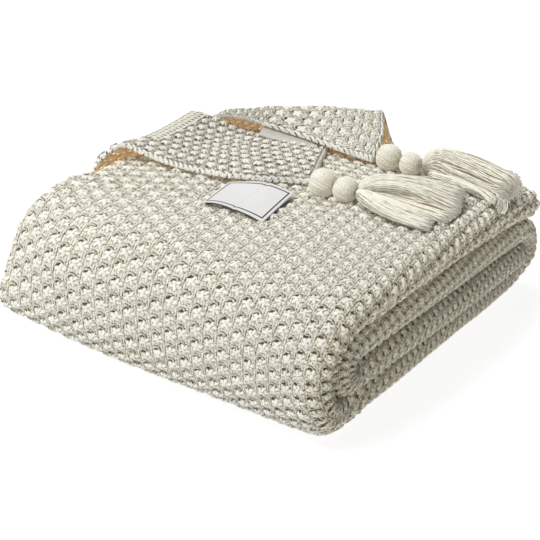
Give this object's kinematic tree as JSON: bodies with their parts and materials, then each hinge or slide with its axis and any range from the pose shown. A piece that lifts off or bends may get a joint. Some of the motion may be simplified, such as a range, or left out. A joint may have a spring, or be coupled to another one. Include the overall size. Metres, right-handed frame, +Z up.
{
  "type": "folded knit throw blanket",
  "caption": "Knit throw folded into a thick square stack, with turned-over corners, wound yarn balls, tassels and sewn labels.",
  "frame": {"origin": "on the surface the stack lies on, under the middle of the folded stack", "axes": "+Z up; +X along the folded front edge, towards the long side folds; +Y from the wrapped front to the back"},
  "size_m": [0.3956, 0.3997, 0.1559],
  "materials": {
    "knit": "chunky ivory knit",
    "yarn": "loose ivory yarn",
    "tape": "woven satin"
  },
  "bodies": {
    "root": {"blanket": "knit", "ball_front_near": "yarn", "ball_front_far": "yarn", "ball_rear_near": "yarn", "ball_rear_far": "yarn", "tassel_front": "yarn", "tassel_rear": "yarn", "label_wide": "tape", "label_tape": "tape"}
  },
  "joints": []
}
